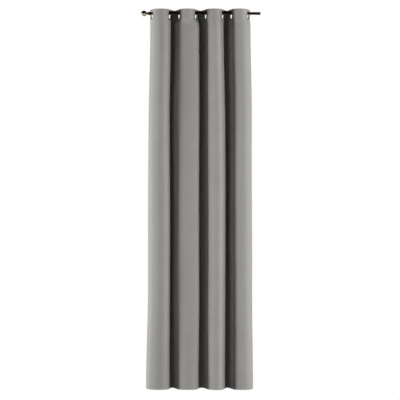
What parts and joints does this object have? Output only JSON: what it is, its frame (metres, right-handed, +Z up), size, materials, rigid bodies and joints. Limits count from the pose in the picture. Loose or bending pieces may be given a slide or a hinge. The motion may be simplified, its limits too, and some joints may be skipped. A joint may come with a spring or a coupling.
{
  "type": "curtain panel",
  "caption": "Gathered fabric room curtain panel with a stiffened eyelet heading, hanging in deep vertical folds on a slim round rod that ends in a ball finial.",
  "frame": {"origin": "on the rod's axis, at the middle of the gathered heading, where the line of the rod's brackets is taken from", "axes": "+X along the rod, away from the ball finial; +Z up; the cloth's face side looks towards -Y"},
  "size_m": [0.6718, 0.1412, 2.134],
  "materials": {
    "rod_metal": "dark aged brass, satin, bright along the worn underside",
    "finial_metal": "aged brass, satin, dark in the hollows",
    "hidden_steel": "zinc plated",
    "hidden_plastic": "moulded, plain",
    "eyelet_metal": "dark bronze plating, satin",
    "curtain_cloth": "plain tight weave, warm grey, matt with a slight sheen",
    "heading_tape": "stiff non-woven heading tape, pale",
    "label_cloth": "smooth woven tape, blank"
  },
  "bodies": {
    "rod": {"rod_tube": "rod_metal", "rod_end_cap": "rod_metal"},
    "finial": {"finial_ball": "finial_metal", "finial_collar": "finial_metal", "finial_stud": "hidden_steel", "finial_plug": "hidden_plastic"},
    "fold_1": {"front_fold_1": "curtain_cloth", "front_heading_tape_1": "heading_tape", "eyelet_1_face_ring": "eyelet_metal", "eyelet_1_back_washer": "eyelet_metal", "eyelet_2_face_ring": "eyelet_metal", "eyelet_2_back_washer": "eyelet_metal", "back_fold_1": "curtain_cloth", "back_heading_tape_1": "heading_tape", "care_label": "label_cloth"},
    "fold_2": {"front_fold_2": "curtain_cloth", "front_heading_tape_2": "heading_tape", "eyelet_3_face_ring": "eyelet_metal", "eyelet_3_back_washer": "eyelet_metal", "eyelet_4_face_ring": "eyelet_metal", "eyelet_4_back_washer": "eyelet_metal", "back_fold_2": "curtain_cloth", "back_heading_tape_2": "heading_tape"},
    "fold_3": {"front_fold_3": "curtain_cloth", "front_heading_tape_3": "heading_tape", "eyelet_5_face_ring": "eyelet_metal", "eyelet_5_back_washer": "eyelet_metal", "eyelet_6_face_ring": "eyelet_metal", "eyelet_6_back_washer": "eyelet_metal", "back_fold_3": "curtain_cloth", "back_heading_tape_3": "heading_tape"},
    "fold_4": {"front_fold_4": "curtain_cloth", "front_heading_tape_4": "heading_tape", "eyelet_7_face_ring": "eyelet_metal", "eyelet_7_back_washer": "eyelet_metal", "eyelet_8_face_ring": "eyelet_metal", "eyelet_8_back_washer": "eyelet_metal"}
  },
  "joints": [
    {"name": "finial_pull", "type": "slide", "parent": "rod", "child": "finial", "axis": [-1, 0, 0], "range_m": [0, 0.03]},
    {"name": "fold_1_slide", "type": "slide", "parent": "rod", "child": "fold_1", "axis": [1, 0, 0], "range_m": [0, 0.02]},
    {"name": "fold_2_slide", "type": "slide", "parent": "fold_1", "child": "fold_2", "axis": [1, 0, 0], "range_m": [-0.03, 0.012], "deforming": ["back_fold_1", "back_heading_tape_1"]},
    {"name": "fold_3_slide", "type": "slide", "parent": "fold_2", "child": "fold_3", "axis": [1, 0, 0], "range_m": [-0.03, 0.012], "deforming": ["back_fold_2", "back_heading_tape_2"]},
    {"name": "fold_4_slide", "type": "slide", "parent": "fold_3", "child": "fold_4", "axis": [1, 0, 0], "range_m": [-0.027, 0.012], "deforming": ["back_fold_3", "back_heading_tape_3"]}
  ]
}
